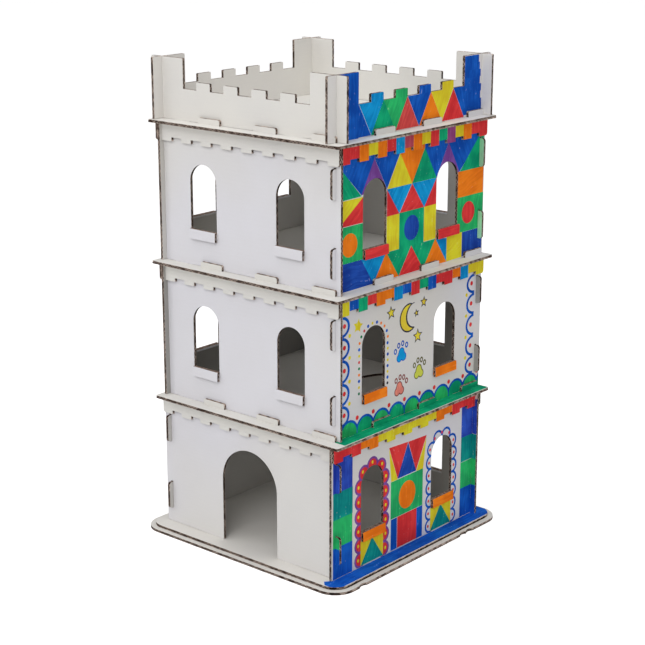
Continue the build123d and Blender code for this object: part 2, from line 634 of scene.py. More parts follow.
class Finishes:
    """The house's finishes, each made once."""

    UPRIGHT = (0.0, 0.0, 1.0)
    LEVEL = (1.0, 0.0, 0.0)
    CREAM = shade(231, 229, 223)
    # Tones of each storey's inside paper: the white paper painted darker as the shade in its rooms, darkest
    # in the middle storey
    STOREY_TONES = (205, 170, 212)

    def __init__(self) -> None:
        """Make every material."""
        self.wall = Liner("white_liner_upright", self.UPRIGHT, warm=shade(229, 227, 224)).build()
        self.floor = Liner("white_liner_level", self.LEVEL, self.CREAM).build()
        self.cream = Liner("cream_liner_upright", self.UPRIGHT, self.CREAM).build()
        self.drawn_wall = Liner("drawn_liner_upright", self.UPRIGHT, ink=FeltInk()).build()
        self.drawn_floor = Liner("drawn_liner_level", self.LEVEL, self.CREAM, ink=FeltInk()).build()
        self.insides = [self.inner_liner(*storey) for storey in enumerate(self.STOREY_TONES, 1)]
        self.kraft = Kraft("cut_kraft", shade(212, 192, 178), shade(90, 68, 58)).build()
        # Kraft in the channels: its brown painted near black as the shade deep in the flutes
        self.hollow = Kraft("channel_kraft", shade(66, 47, 39), shade(18, 12, 10)).build()
        self.torn = Kraft("torn_kraft", shade(178, 156, 143), shade(84, 62, 54), 240.0).build()

    def inner_liner(self, number: int, tone: int) -> bpy.types.Material:
        """Paper inside one storey, the white paper painted darker as the shade inside its rooms, of a tone
        between 0 and 255.
        """
        less = ((0, 2, 6), (2, 5, 11), (19, 22, 26))
        return Liner(f"inner_liner_{number}", self.UPRIGHT,
                     *(shade(*(tone - step for step in steps)) for steps in less)).build()

    def zones(self, lie: Lie, cream: bool) -> dict[Zone, bpy.types.Material]:
        """Finish of each zone of a sheet.

        Args:
            lie: How the sheet lies.
            cream: Whether an upright sheet is cream rather than cooler white.

        Returns:
            The finishes by zone.
        """
        level = lie is Lie.LEVEL
        outer = self.floor if level else self.cream if cream else self.wall
        # Inside faces of the walls get the first storey's paper, painted darker as shade
        inner = outer if level or cream else self.insides[0]
        return {Zone.OUTER: outer, Zone.INNER: inner, Zone.SILL: outer,
                Zone.CORE: self.kraft, Zone.HOLLOW: self.hollow, Zone.TORN: self.torn}


# Corrugated board


@dataclass(frozen=True)
class Board:
    """Stock that every sheet is cut from: two white liners and a waved sheet between them."""

    thickness: float = 5.0 * MM
    liner: float = 0.55 * MM
    medium: float = 1.0 * MM
    margin: float = 4.0 * MM
    wave: tuple[float, ...] = (0.0, 0.71, 1.0, 0.71, 0.0, -0.71, -1.0, -0.71)

    @property
    def rise(self) -> float:
        """Height of the wave above the middle of the board."""
        return self.thickness / 2 - self.liner - self.medium / 2 - NEAR

    @property
    def step(self) -> float:
        """Distance between two points of the wave."""
        return FLUTE / len(self.wave)

    def waved(self, name: str, long: float, rows_from: float, rows_to: float) -> bpy.types.Object:
        """Waved sheet lying flat, its channels along X.

        Args:
            name: Name of the object.
            long: Length of the channels, on both sides of the middle.
            rows_from: Where the waves start, along Y.
            rows_to: Where they end.

        Returns:
            The sheet, with the middle of its waves at height zero.
        """
        step = self.step
        first = math.floor(rows_from / step)
        count = math.ceil(rows_to / step) - first
        bpy.ops.object.select_all(action="DESELECT")
        bpy.ops.mesh.primitive_grid_add(x_subdivisions=1, y_subdivisions=count, size=1,
                                        location=(0, (first + count / 2) * step, 0))
        sheet = bpy.context.object
        sheet.name = name
        sheet.scale = (2 * long, count * step, 1)
        bpy.ops.object.transform_apply(location=True, rotation=True, scale=True)
        with editing(sheet) as mesh:
            for height in sorted(set(self.wave) - {0.0}):
                choose(mesh, sheet, lambda v: self.wave[round(v.co.y / step) % len(self.wave)] == height)
                bpy.ops.transform.translate(value=(0, 0, height * self.rise))
        modify(sheet, "SOLIDIFY", thickness=self.medium, offset=0.0)
        return sheet


@dataclass
class Sheet:
    """Flat sheets, each laid out from the shape of its node."""

    board: Board
    finishes: Finishes
    lie: Lie = Lie.UPRIGHT
    cream: bool = False
    sill: Optional[bpy.types.Object] = None
    foot_gap: float = 0.5 * MM
    straight_cut: float = 0.98

    def shift(self, distance: float) -> Matrix:
        """Translation through the board.

        Args:
            distance: How far.

        Returns:
            The translation.
        """
        step = Vector()
        step[self.lie.through] = distance
        return Matrix.Translation(step)

    def pattern(self, node: str, home: Matrix) -> bpy.types.Object:
        """Flat outline of a sheet: the face on its hidden or upper side, brought home.

        Args:
            node: Node to copy.
            home: Takes the node to where the sheet is made.

        Returns:
            The flat face.
        """
        flat = copy_of(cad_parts[node], "pattern")
        flat.data.transform(home)
        axis = self.lie.through
        plane = max(v.co[axis] for v in flat.data.vertices)
        with editing(flat) as mesh:
            bpy.ops.mesh.select_all(action="SELECT")
            bpy.ops.mesh.remove_doubles(threshold=NEAR / 10)
            choose(mesh, flat, lambda f: any(abs(v.co[axis] - plane) > NEAR for v in f.verts), "faces")
            bpy.ops.mesh.delete(type="FACE")
        flat.data.materials.clear()
        if self.lie is Lie.UPRIGHT:
            self.lift_foot(flat)
        return flat

    def lift_foot(self, flat: bpy.types.Object) -> None:
        """Leave a thin dark gap between a sheet's foot and what it stands on.

        Args:
            flat: Flat outline of the sheet.
        """
        with editing(flat) as mesh:
            choose(mesh, flat, lambda v: abs(v.co.z) < NEAR)
            if any(v.select for v in mesh.verts):
                bpy.ops.transform.translate(value=(0, 0, self.foot_gap))

    def slab(self, flat: bpy.types.Object, name: str, depth: float, thickness: float) -> bpy.types.Object:
        """Closed slab of the sheet's outline.

        Args:
            flat: Flat outline, on the hidden or upper face.
            name: Name of the slab.
            depth: How far its near face lies below the flat outline.
            thickness: Its thickness.

        Returns:
            The slab.
        """
        slab = copy_of(flat, name)
        slab.data.transform(self.shift(-depth))
        modify(slab, "SOLIDIFY", thickness=thickness, offset=-1.0, use_even_offset=False)
        return slab

    def face_zone(self, face: bpy.types.MeshPolygon, outer: float, inner: float) -> Zone:
        """Zone of a face of a liner, by its place and the way it looks.

        Args:
            face: The face.
            outer: Place of the board's outer side.
            inner: Place of its inner side.

        Returns:
            The zone.
        """
        place = face.center[self.lie.through]
        outwards = face.normal[self.lie.through] * self.lie.out
        if abs(place - outer) < NEAR and outwards > FACING:
            return Zone.OUTER
        if abs(place - inner) < NEAR and outwards < -FACING:
            return Zone.INNER
        # Liner faces that look into the channels are painted dark as shade
        return Zone.HOLLOW if abs(outwards) > FACING else Zone.CORE

    def core_zone(self, face: bpy.types.MeshPolygon, low: float, high: float) -> Zone:
        """Zone of a face of the waved sheet: pale where it is cut, painted dark in the channels as their
        shade.

        Args:
            face: The face.
            low: Least coordinate across the channels that is still inside the sheet's rim.
            high: Greatest such coordinate.

        Returns:
            The zone.
        """
        rows = self.lie.rows
        cut = abs(face.normal[self.lie.along]) > FACING or abs(face.normal[rows]) > self.straight_cut
        return Zone.HOLLOW if low < face.center[rows] < high and not cut else Zone.CORE

    def medium(self, flat: bpy.types.Object, plane: float) -> bpy.types.Object:
        """Waved sheet inside the board, cut to the outline.

        Args:
            flat: Flat outline of the sheet.
            plane: Its place through the board.

        Returns:
            The waved sheet.
        """
        board, lie = self.board, self.lie
        corners = [v.co for v in flat.data.vertices]
        low = min(c[lie.rows] for c in corners) - board.margin
        high = max(c[lie.rows] for c in corners) + board.margin
        long = max(abs(c[lie.along]) for c in corners) + board.margin
        cutter = self.slab(flat, "cutter", 0.0, board.thickness)
        medium = board.waved("medium", long, low, high)
        medium.data.transform(self.shift(plane - board.thickness / 2) @ lie.turn)
        medium.data.flip_normals()
        modify(medium, "BOOLEAN", operation="INTERSECT", object=cutter, solver="EXACT")
        bpy.data.objects.remove(cutter)
        rim = board.margin + FLUTE
        mark(medium, lambda face: self.core_zone(face, low + rim, high - rim))
        return medium

    def build(self, name: str, node: str, home: Matrix, sills: Sequence[float] = ()) -> bpy.types.Object:
        """Make a sheet at the front of the house or, if level, where it lies.

        Args:
            name: Name of the sheet.
            node: Node whose outline it has.
            home: Takes the node to where the sheet is made.
            sills: Middles of its windows.

        Returns:
            The sheet.
        """
        board = self.board
        flat = self.pattern(node, home)
        plane = flat.data.vertices[0].co[self.lie.through]
        near = self.slab(flat, "near_liner", 0.0, board.liner)
        far = self.slab(flat, "far_liner", board.thickness - board.liner, board.liner)
        outer, inner = plane - board.thickness, plane
        if self.lie is Lie.LEVEL:
            outer, inner = inner, outer
        for liner in (near, far):
            mark(liner, lambda face: self.face_zone(face, outer, inner))
        parts = [near, far, self.medium(flat, plane)]
        for place in sills:
            fold = copy_of(self.sill, "sill")
            fold.data.transform(Matrix.Translation((place, 0, 0)))
            parts.append(fold)
        sheet = joined(parts)
        sheet.name = name
        dress(sheet, self.finishes.zones(self.lie, self.cream))
        bpy.data.objects.remove(flat)
        LOG.info("%s: %d faces", name, len(sheet.data.polygons))
        return sheet


@dataclass
class SillFold:
    """Board folded out over a window's lower edge, its flap hanging outside.

    Places are those of a sill at the front. The rim goes from inside over the top, as shares of the
    fold's depth and rise, and the crushed waves under it are given as (Y, Z) in millimetres.
    """

    board: Board
    width: float = 62.0 * MM
    inside: float = -193.0 * MM
    flap: float = -203.4 * MM
    crease: float = -198.4 * MM
    low: float = 48.0 * MM
    base: float = 61.2 * MM
    top: float = 64.4 * MM
    flap_margin: float = 1.4 * MM
    inside_margin: float = 0.4 * MM
    flatter: float = 0.9
    rim: tuple[Point, ...] = ((0.0, 0.0), (0.03, 0.5), (0.1, 0.76), (0.24, 0.78), (0.38, 0.9), (0.52, 0.84),
                              (0.66, 0.98), (0.8, 0.93), (0.9, 1.0), (0.97, 0.75), (1.0, -0.3))
    crushed: tuple[Point, ...] = ((-200.6, 62.2), (-199.4, 63.2), (-198.2, 62.3), (-197.0, 63.2),
                                  (-195.8, 62.2), (-194.6, 62.8))

    def skin_line(self) -> list[Point]:
        """Outline of the fold from inside, over the top and down.

        Returns:
            Its points as (Y, Z).
        """
        depth, rise = self.inside - self.flap, self.top - self.base
        over = [(self.inside - depth * back, self.base + rise * up) for back, up in self.rim]
        return over + [(self.flap, self.low)]

    def medium_line(self) -> list[Point]:
        """Waved sheet inside the fold, crushed at the top.

        Returns:
            Its points as (Y, Z).
        """
        board = self.board
        step = board.step
        middle = self.flap + board.thickness / 2
        hanging = [(middle + board.wave[i % len(board.wave)] * board.rise * self.flatter, self.low + i * step)
                   for i in range(int((self.base - self.low) / step))]
        return hanging + [(y * MM, z * MM) for y, z in self.crushed]

    def ribbon(self, name: str, line: Sequence[Point], thickness: float, offset: float) -> bpy.types.Object:
        """Strip of paper, as wide as the window, bent along a line.

        Args:
            name: Name of the strip.
            line: Points it passes through, as (Y, Z).
            thickness: Its thickness.
            offset: Side of the line on which the thickness lies, from -1 to 1.

        Returns:
            The strip.
        """
        bpy.ops.object.select_all(action="DESELECT")
        bpy.ops.mesh.primitive_plane_add(size=self.width, location=(0, 0, 0))
        strip = bpy.context.object
        strip.name = name
        with editing(strip) as mesh:
            choose(mesh, strip, lambda v: v.co.y > 0)
            bpy.ops.mesh.delete(type="VERT")
            bpy.ops.mesh.select_all(action="SELECT")
            bpy.ops.transform.translate(value=(0, self.width / 2 + line[0][0], line[0][1]))
            for here, there in zip(line, line[1:]):
                step = (0, there[0] - here[0], there[1] - here[1])
                bpy.ops.mesh.extrude_region_move(TRANSFORM_OT_translate={"value": step})
            bpy.ops.mesh.select_all(action="SELECT")
        modify(strip, "SOLIDIFY", thickness=thickness, offset=offset)
        with editing(strip):
            bpy.ops.mesh.select_all(action="SELECT")
            bpy.ops.mesh.normals_make_consistent(inside=False)
        return strip

    def build(self) -> bpy.types.Object:
        """Make the sill for a window in the middle of the front.

        Returns:
            The sill.
        """
        board = self.board
        skin = self.ribbon("skin", self.skin_line(), board.liner, offset=-1.0)
        hung = [(self.crease, self.low), (self.crease, self.base)]
        lining = self.ribbon("lining", hung, board.liner, offset=1.0)
        medium = self.ribbon("crushed", self.medium_line(), board.medium, offset=0.0)
        mark(skin, self.zone)
        mark(lining, self.zone)
        # Waves in the fold: cut ends pale, the rest painted dark as the shade in the channels
        mark(medium, lambda face: Zone.CORE if abs(face.normal.x) > FACING else Zone.HOLLOW)
        return joined([skin, lining, medium])

    def zone(self, face: bpy.types.MeshPolygon) -> Zone:
        """Zone of a face of the folded paper, which is brown where it was perforated on top.

        Args:
            face: The face.

        Returns:
            The zone.
        """
        if abs(face.center.x) > self.width / 2 - NEAR or not self.faces_out(face):
            return Zone.CORE
        start, end = self.flap + self.flap_margin, self.inside - self.inside_margin
        on_top = start < face.center.y < end and face.center.z > self.base
        return Zone.TORN if on_top else Zone.SILL

    def faces_out(self, face: bpy.types.MeshPolygon) -> bool:
        """Whether a face of the fold looks away from the board's inside.

        Args:
            face: The face.

        Returns:
            True if it does.
        """
        away = face.center - Vector((0, (self.inside + self.flap) / 2, (self.low + self.base) / 2))
        away.x = 0
        normal = face.normal
        side = abs(normal.x) < 0.5 and abs(normal.z) < 0.99 and normal.dot(away) > 0
        return side or normal.z > 0.5


# Drawing on the board


class Drawing:
    """Fields of marker on one flat face of a sheet, split off its faces one after another.

    Coordinates are in millimetres, angles in degrees.
    """

    UPRIGHT = 90.0
    GAP = 0.04
    STRAY = (-0.54, 0.36)
    SHORTEST = 0.01
    BOW_STEPS = 12
    STAR_WAIST = 0.45
    LEAST_COVER = 0.6
    COVER_STEP = 0.05
    COVER_STEPS = 7

    def __init__(self, piece: bpy.types.Object, look: Look, zone: Zone, lift: float, seed: int) -> None:
        """Open a piece's mesh for drawing.

        Args:
            piece: Sheet to draw on.
            look: The way the drawn face looks.
            zone: Faces to draw on.
            lift: Height of the drawing's zero above the house's, in metres.
            seed: Start of the unevenness of hand-drawn lines.
        """
        self.piece = piece
        self.across, self.up, normal = (Vector(way) for way in look.value)
        self.lift = lift
        self.rough = random.Random(seed)
        self.mesh = bmesh.new()
        self.mesh.from_mesh(piece.data)
        self.field = self.mesh.faces.layers.int.new(Layer.FIELD)
        layer = self.mesh.faces.layers.int[Layer.ZONE]
        self.strokes: list[tuple[Marker, float]] = [(Marker.BARE, self.UPRIGHT)]
        self.extent: dict[bmesh.types.BMFace, Extent] = {}
        self.mesh.normal_update()
        for face in self.mesh.faces:
            if face[layer] == zone.value and face.normal.dot(normal) > FACING:
                self.extent[face] = self.reach(face)

    def flat(self, place: Vector) -> Point:
        """Coordinates of a point in the drawing."""
        return place.dot(self.across) / MM, (place.dot(self.up) - self.lift) / MM

    def reach(self, face: bmesh.types.BMFace) -> Extent:
        """Least and greatest coordinates of a face."""
        across, up = zip(*(self.flat(v.co) for v in face.verts))
        return min(across), max(across), min(up), max(up)

    def crop(self, left: float, right: float) -> None:
        """Draw only between two upright lines, so that tabs beyond them stay bare.

        Args:
            left: Place of the left line.
            right: Place of the right one.
        """
        for edge, way in ((left, -1.0), (right, 1.0)):
            kept = self.halve(list(self.extent), self.across * edge * MM, self.across * way)
            self.extent = {face: self.extent[face] for face in kept}

    def fill(self, corners: Sequence[Point], marker: Marker, angle: float = UPRIGHT,
             gap: float = GAP) -> None:
        """Fill a field whose corners stand round a shape with no dent.

        Args:
            corners: Corners of the field, in either order.
            marker: Its colour.
            angle: Direction of the strokes.
            gap: How far the colour stays inside the edges. With no gap they are drawn without straying.
        """
        self.strokes.append((marker, angle))
        number = len(self.strokes) - 1
        across, up = zip(*corners)
        left, right, low, high = min(across), max(across), min(up), max(up)
        inside = [face for face, (start, end, foot, top) in self.extent.items()
                  if start < right and end > left and foot < high and top > low]
        middle = (sum(across) / len(corners), sum(up) / len(corners))
        for (ax, ay), (bx, by) in zip(corners, list(corners[1:]) + [corners[0]]):
            if not inside:
                return
            run = Vector((bx - ax, by - ay))
            if run.length < self.SHORTEST:
                continue
            out = Vector((run.y, -run.x)).normalized()
            if out.dot(Vector((middle[0] - ax, middle[1] - ay))) > 0:
                out.negate()
            inset = gap + self.rough.uniform(*self.STRAY) * min(1.0, gap / self.GAP)
            start = Vector((ax, ay)) - out * inset
            plane = self.across * start.x * MM + self.up * (start.y * MM + self.lift)
            inside = self.halve(inside, plane, self.across * out.x + self.up * out.y)
        for face in inside:
            face[self.field] = number

    def halve(self, faces: list, plane: Vector, facing: Vector) -> list:
        """Split faces along a line and return those on its near side.

        Args:
            faces: Faces to split.
            plane: A point of the line.
            facing: The way towards its far side.

        Returns:
            The faces on the near side.
        """
        verts = dict.fromkeys(v for f in faces for v in f.verts)
        edges = dict.fromkeys(e for f in faces for e in f.edges)
        cut = bmesh.ops.bisect_plane(self.mesh, geom=[*verts, *edges, *faces], dist=NEAR / 20,
                                     plane_co=plane, plane_no=facing)
        near = []
        for face in cut["geom"]:
            if isinstance(face, bmesh.types.BMFace):
                self.extent[face] = self.reach(face)
                if sum((v.co - plane).dot(facing) for v in face.verts) < 0:
                    near.append(face)
        return near

    def block(self, left: float, right: float, low: float, high: float, marker: Marker,
              angle: float = UPRIGHT, gap: float = GAP) -> None:
        """Fill a rectangle."""
        self.fill([(left, low), (right, low), (right, high), (left, high)], marker, angle, gap)

    def disc(self, middle: Point, radius: float, marker: Marker, sides: int = 18, squeeze: float = 1.0,
             angle: float = UPRIGHT) -> None:
        """Fill a round field.

        Args:
            middle: Its middle.
            radius: Its radius.
            marker: Its colour.
            sides: Number of short straight edges round it.
            squeeze: Its width as a share of its height.
            angle: Direction of the strokes.
        """
        turn = self.rough.uniform(0, 1)
        ways = [2 * math.pi * (i + turn) / sides for i in range(sides)]
        x, y = middle
        self.fill([(x + squeeze * radius * math.cos(way), y + radius * math.sin(way)) for way in ways],
                  marker, angle, 0.0)

    def bow(self, edge: float, middle: float, out: float, half: float, marker: Marker) -> None:
        """Fill half an oval that stands out from an upright line.

        Args:
            edge: Place of the line.
            middle: Height of the bow's middle.
            out: How far it stands out, with its sign.
            half: Half its height.
            marker: Its colour.
        """
        ways = [math.pi * i / self.BOW_STEPS for i in range(self.BOW_STEPS + 1)]
        corners = [(edge + out * math.sin(way), middle + half * math.cos(way)) for way in ways]
        self.fill(corners, marker, gap=0.0)

    def star(self, middle: Point, radius: float, marker: Marker, lean: float) -> None:
        """Fill a five-pointed star.

        Args:
            middle: Its middle.
            radius: Distance of its points from the middle.
            marker: Its colour.
            lean: Direction of its first point.
        """
        def corner(index: int) -> Point:
            """Corner of the star: a point at an even number of tenths of a turn, a dent at an odd one.

            Args:
                index: Number of tenths of a turn.

            Returns:
                The corner.
            """
            length = radius * self.STAR_WAIST if index % 2 else radius
            way = math.radians(lean + 36 * index)
            return middle[0] + length * math.cos(way), middle[1] + length * math.sin(way)

        for index in range(0, 10, 2):
            self.fill([middle, corner(index - 1), corner(index), corner(index + 1)], marker, gap=0.0)

    def close(self, finish: bpy.types.Material) -> None:
        """Write the drawing to the piece.

        Args:
            finish: Finish that shows it.
        """
        layers = self.mesh.loops.layers
        ink = layers.float_color.new(Layer.INK)
        stroke = layers.float_vector.new(Layer.STROKE)
        cover = layers.float.new(Layer.COVER)
        materials = self.piece.data.materials
        materials.append(finish)
        for face in self.extent:
            if not face.is_valid:
                continue
            number = face[self.field]
            marker, angle = self.strokes[number]
            way = math.radians(angle)
            covered = self.LEAST_COVER + (number % self.COVER_STEPS) * self.COVER_STEP
            face.material_index = len(materials) - 1
            for loop in face.loops:
                loop[ink] = (*marker.value, 1.0)
                loop[stroke] = self.across * math.cos(way) + self.up * math.sin(way)
                loop[cover] = 0.0 if marker is Marker.BARE else covered
        self.mesh.faces.layers.int.remove(self.field)
        self.mesh.to_mesh(self.piece.data)
        self.mesh.free()


@dataclass
class UpperWallDrawing:
    """Triangles, blocks and discs on the top storey's right-hand wall."""

    drawing: Drawing
    crest: float = 224.0
    rows: tuple[float, ...] = (212.0, 156.0, 110.0, 49.0, 2.0)
    left: float = -193.0
    right: float = 206.0
    pane: tuple[float, float] = (68.0, 130.0)
    half: float = 34.0
    tops: tuple[float, ...] = (-193.0, -101.0, -34.0, 34.0, 101.0, 193.0)
    feet: tuple[float, ...] = (-134.0, -68.0, 0.0, 68.0, 134.0)

    def triangles(self) -> None:
        """Top row: triangles that stand and hang in turn."""
        draw, m = self.drawing, Marker
        top, base = self.rows[:2]
        tops, feet = self.tops, self.feet
        for index, marker in enumerate((m.BLUE, m.BLUE, m.ORANGE, m.BLUE, m.BLUE)):
            start, end = tops[index:index + 2]
            draw.block(start, end, top - 1, self.crest, marker, 75)
            draw.fill([(start, top), (end, top), (feet[index], base)], marker, 62 + 14 * index)
        for index, marker in enumerate((m.PURPLE, m.YELLOW, m.GREEN, m.PURPLE)):
            draw.fill([(feet[index], base), (feet[index + 1], base), (tops[index + 1], top)], marker, 80)
        draw.fill([(self.left, top), (feet[0], base - 1.6), (self.left, base - 2.6)], m.GREEN, 130)
        high = top + 4
        draw.fill([(194, high), (self.right, high), (self.right, base), (feet[-1], base)], m.GREEN, 60)

    def middle(self) -> None:
        """Second and third rows: triangles over blocks with discs, between and beside the windows."""
        draw, m = self.drawing, Marker
        high, mid, low = self.rows[1:4]
        left, half = self.left, self.half
        inner, outer = self.pane
        draw.fill([(left, high - 3), (-outer, high - 3), (left, mid)], m.YELLOW, 50)
        draw.fill([(-outer, high - 3.5), (-outer, mid), (left, mid)], m.RED, 40)
        for way, angle in ((-1, 110), (1, 70)):
            draw.fill([(way * inner, high), (way * inner, mid), (way * half, mid)], m.RED, angle)
        for way, angle in ((-1, 60), (1, 120)):
            draw.fill([(way * inner, high), (0, high), (way * half, mid)], m.SKY, angle)
        draw.fill([(-half, mid), (half, mid), (0, high)], m.RED, 30)
        draw.block(outer, self.right + 0.5, mid, high, m.ORANGE, 20)
        draw.block(left, -outer, low, mid, m.LEAF)
        draw.disc((-164, 78), 20, m.ORANGE)
        draw.block(-inner, -half, low, mid, m.YELLOW)
        draw.block(-half, half, low - 0.8, mid, m.GREEN)
        draw.disc((0, 80), 22, m.DEEP_BLUE, squeeze=0.95)
        draw.block(half, inner, low, mid, m.YELLOW)
        draw.block(outer, self.right + 1, low - 2, mid, m.LEAF, 80)
        draw.disc((163, 80), 20, m.RED, squeeze=0.95)

    def foot(self) -> None:
        """Lowest row: triangles that hang and stand in turn, and two blocks at the right."""
        draw, m = self.drawing, Marker
        high, low = self.rows[3:]
        places = (-134, -101, -68, -34, 0, 34, 68, 101)
        draw.fill([(self.left, high), (-134, high), (-101, low), (self.left, low)], m.DEEP_BLUE, 0)
        for index, (marker, angle) in enumerate(((m.SKY, 60), (m.ORANGE, 100), (m.GREEN, 60), (m.RED, 30),
                                                 (m.GREEN, 70), (m.ORANGE, 60))):
            base, tip = (low, high) if index % 2 else (high, low)
            start, middle, end = places[index:index + 3]
            draw.fill([(start, base), (end, base), (middle, tip)], marker, angle)
        draw.fill([(68, high), (101, 44), (101, low)], m.SKY, 20)
        draw.block(101, 146, low, high - 2, m.YELLOW, 20)
        draw.block(146, self.right, low, high - 2, m.DEEP_BLUE)

    def draw(self) -> None:
        """Draw it all."""
        self.triangles()
        self.middle()
        self.foot()


@dataclass
class MiddleWallDrawing:
    """Moon, stars, paw prints and scalloped borders on the middle storey's right-hand wall."""

    drawing: Drawing
    outline: float = 5.6
    dot: float = 4.2
    hill_step: float = 43.0
    hill_first: float = -206.5
    hill_count: int = 11
    hill_foot: float = 3.0
    hill_radius: float = 25.0
    window: float = -99.5
    spring: float = 148.0
    ring: float = 38.3
    left_cusps: tuple[float, ...] = (211.0, 175.0, 137.0, 96.0, 57.0, 20.0)
    right_cusps: tuple[float, ...] = (214.0, 178.0, 139.0, 99.0, 60.0, 26.0)

    def scallops(self, edge: float, out: float, cusps: Sequence[float]) -> None:
        """Blue scalloped line along one edge of the wall, a red dot in each bow and yellow ones between.

        Args:
            edge: Line on which the bows end.
            out: How far a bow stands out, with its sign.
            cusps: Heights at which the bows end, from the top.
        """
        draw = self.drawing
        thin = 1 - self.outline / abs(out)
        for high, low in zip(cusps, cusps[1:]):
            draw.bow(edge, (high + low) / 2, out, (high - low) / 2 + 0.6, Marker.BLUE)
        for high, low in zip(cusps, cusps[1:]):
            draw.bow(edge, (high + low) / 2, out * thin, (high - low) / 2 - self.outline * 0.8, Marker.BARE)
            draw.disc((edge + out * 0.36, (high + low) / 2 + 1), self.dot, Marker.RED, 10)
        for low in cusps[1:-1]:
            draw.disc((edge + out * 0.97, low), 3.6, Marker.YELLOW, 10)

    def hills(self) -> None:
        """Green scalloped hills along the foot, with a red dot over each dip."""
        draw = self.drawing
        middles = [self.hill_first + self.hill_step * index for index in range(self.hill_count)]
        for middle in middles:
            draw.disc((middle, self.hill_foot), self.hill_radius, Marker.BLUE, 24)
        for index, middle in enumerate(middles):
            fill = Marker.LEAF if index % 2 else Marker.GREEN
            draw.disc((middle, self.hill_foot), self.hill_radius - self.outline * 0.8, fill, 24, angle=75)
            draw.disc((middle + self.hill_step / 2, 27), self.dot, Marker.RED, 10)

    def dots(self) -> None:
        """Ring of small dots round the left-hand window."""
        m = Marker
        rising = (m.DARK_GREEN, m.YELLOW, m.BLUE, m.ORANGE, m.DARK_GREEN, m.CORAL, m.YELLOW, m.BLUE)
        over = (m.ORANGE, m.DARK_GREEN, m.CORAL, m.BLUE, m.YELLOW, m.BLUE, m.ORANGE, m.ORANGE, m.BLUE,
                m.ORANGE, m.BLUE)
        falling = (m.YELLOW, m.BLUE, m.YELLOW, m.BLUE, m.YELLOW, m.BLUE, m.INK)
        places = [(-self.ring, 68.2 + 11.0 * index) for index in range(len(rising))]
        ways = [math.radians(167 - 17.9 * index) for index in range(len(over))]
        for way in ways:
            places.append((self.ring * math.cos(way), self.spring + self.ring * 0.94 * math.sin(way)))
        places += [(self.ring, 130.5 - 10.3 * index) for index in range(len(falling))]
        for (x, y), marker in zip(places, rising + over + falling):
            self.drawing.disc((self.window + x, y), 3.1 if marker is m.BLUE else 2.8, marker, 8)

    def paw(self, pad: Point, toes: Sequence[Point], marker: Marker, line: Marker) -> None:
        """Paw print with an outline and hollow toes.

        Args:
            pad: Middle of the pad.
            toes: Middles of the four toes.
            marker: Colour of the pad.
            line: Colour of the outline.
        """
        draw = self.drawing
        lobes = ((0.0, 5.2, 6.2), (0.0, 0.4, 8.0), (-5.8, -4.8, 6.0), (5.8, -4.4, 6.0))
        for grow, colour in ((1.9, line), (0.0, marker)):
            for x, y, radius in lobes:
                draw.disc((pad[0] + x, pad[1] + y), radius + grow, colour, 14)
        for place in toes:
            draw.disc(place, 5.5, line, 12, 0.8)
            draw.disc(place, 2.7, Marker.BARE, 12, 0.7)

    def sky(self) -> None:
        """Moon and stars, the small stars with a dark outline."""
        draw, m = self.drawing, Marker
        for middle, radius, marker in (((-3.5, 172), 26.0, m.INK), ((-3.5, 172), 23.2, m.GOLD),
                                       ((10.6, 174), 22.8, m.INK), ((12.8, 174.4), 21.2, m.BARE)):
            draw.disc(middle, radius, marker, 28)
        draw.block(12.0, 40.0, 146, 200, m.BARE, 0.0, 0.0)
        draw.star((-141, 187), 13, m.YELLOW, 80)
        draw.disc((-141, 187), 7.5, m.YELLOW, 12)
        for middle, radius, lean in (((-53, 191), 11, 95), ((38, 192), 9, 85), ((17.5, 176), 6, 100),
                                     ((22, 134), 12, 90)):
            draw.star(middle, radius + 2.0, m.INK, lean)
            draw.star(middle, max(radius - 2.4, radius * 0.6), m.GOLD, lean)

    def draw(self) -> None:
        """Draw it all."""
        m = Marker
        self.sky()
        self.paw((-23, 110), ((-40, 119), (-31, 128), (-20, 130), (-9, 125)), m.SKY, m.BLUE)
        self.paw((27, 68), ((14, 82), (24, 89), (34, 88), (43, 81)), m.OLIVE, m.MOSS)
        self.paw((-28, 50), ((-37, 66), (-26, 70), (-16, 68), (-8, 60)), m.SALMON, m.MAROON)
        self.scallops(-184.0, 22.0, self.left_cusps)
        self.scallops(188.0, -24.0, self.right_cusps)
        self.dots()
        self.hills()


